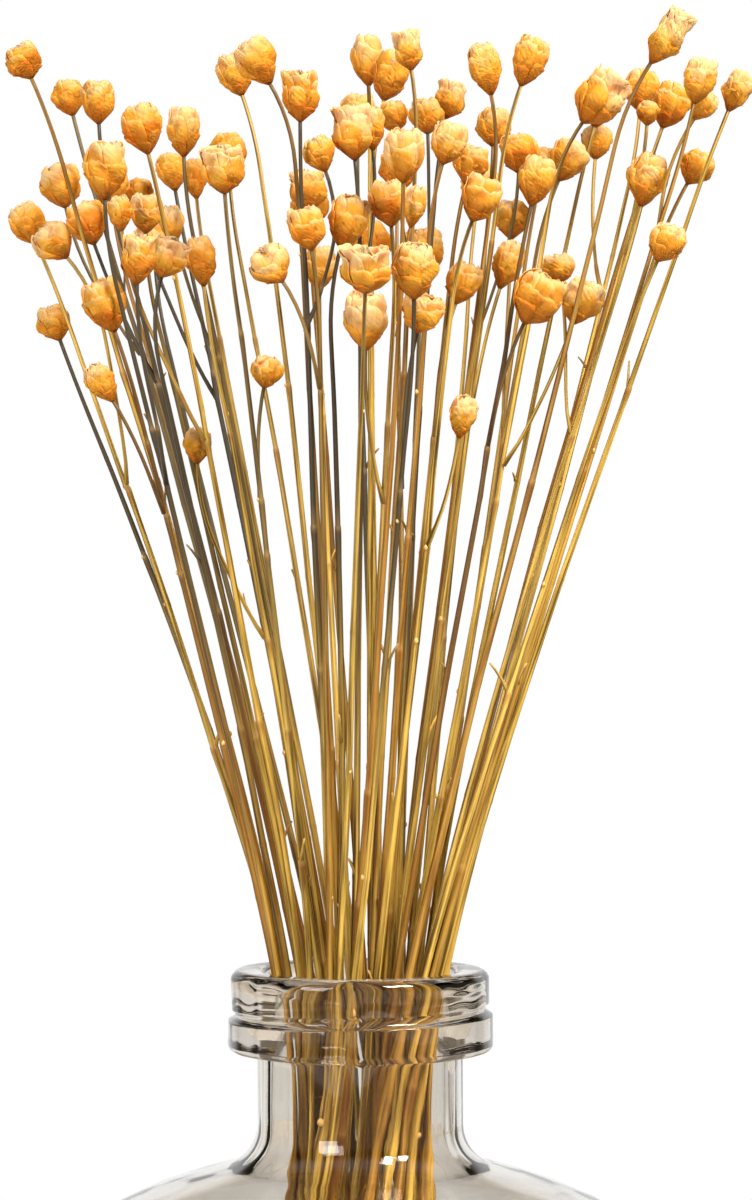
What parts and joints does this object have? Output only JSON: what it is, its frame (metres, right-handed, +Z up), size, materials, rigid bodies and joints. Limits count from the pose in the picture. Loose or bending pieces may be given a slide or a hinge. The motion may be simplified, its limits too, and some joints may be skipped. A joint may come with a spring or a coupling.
{
  "type": "vase of dried daisies",
  "caption": "Round bouquet of dried papery daisy heads on thin bare stems, standing in a clear glass bottle vase with a straight neck and a thick double-ring collar.",
  "frame": {"origin": "centre of the vase's flat base", "axes": "+Z up along the vase's axis, +X to the right and +Y away from the front, which is the side seen in the picture"},
  "size_m": [0.2006, 0.1768, 0.4483],
  "materials": {
    "glass": "clear colourless glass, fire polished, with a pressed collar",
    "dried_flower": "matt dried papery petals, ochre to amber, on dry straw-brown woody stems"
  },
  "bodies": {
    "root": {"vase": "glass", "flower_stem_01": "dried_flower", "flower_stem_02": "dried_flower", "flower_stem_03": "dried_flower", "flower_stem_04": "dried_flower", "flower_stem_05": "dried_flower", "flower_stem_06": "dried_flower", "flower_stem_07": "dried_flower", "flower_stem_08": "dried_flower", "flower_stem_09": "dried_flower", "flower_stem_10": "dried_flower", "flower_stem_11": "dried_flower", "flower_stem_12": "dried_flower", "flower_stem_13": "dried_flower", "flower_stem_14": "dried_flower", "flower_stem_15": "dried_flower", "flower_stem_16": "dried_flower", "flower_stem_17": "dried_flower", "flower_stem_18": "dried_flower", "flower_stem_19": "dried_flower", "flower_stem_20": "dried_flower", "flower_stem_21": "dried_flower", "flower_stem_22": "dried_flower", "flower_stem_23": "dried_flower", "flower_stem_24": "dried_flower", "flower_stem_25": "dried_flower", "flower_stem_26": "dried_flower", "flower_stem_27": "dried_flower", "flower_stem_28": "dried_flower", "flower_stem_29": "dried_flower", "flower_stem_30": "dried_flower", "flower_stem_31": "dried_flower", "flower_stem_32": "dried_flower", "flower_stem_33": "dried_flower", "flower_stem_34": "dried_flower", "flower_stem_35": "dried_flower", "flower_stem_36": "dried_flower", "flower_stem_37": "dried_flower", "flower_stem_38": "dried_flower", "flower_stem_39": "dried_flower", "flower_stem_40": "dried_flower", "flower_stem_41": "dried_flower", "flower_stem_42": "dried_flower", "flower_stem_43": "dried_flower", "flower_stem_44": "dried_flower", "flower_stem_45": "dried_flower", "flower_stem_46": "dried_flower", "flower_stem_47": "dried_flower", "flower_stem_48": "dried_flower", "flower_stem_49": "dried_flower", "flower_stem_50": "dried_flower", "flower_stem_51": "dried_flower", "flower_stem_52": "dried_flower", "flower_stem_53": "dried_flower", "flower_stem_54": "dried_flower", "flower_stem_55": "dried_flower", "flower_stem_56": "dried_flower", "flower_stem_57": "dried_flower", "flower_stem_58": "dried_flower"}
  },
  "joints": []
}
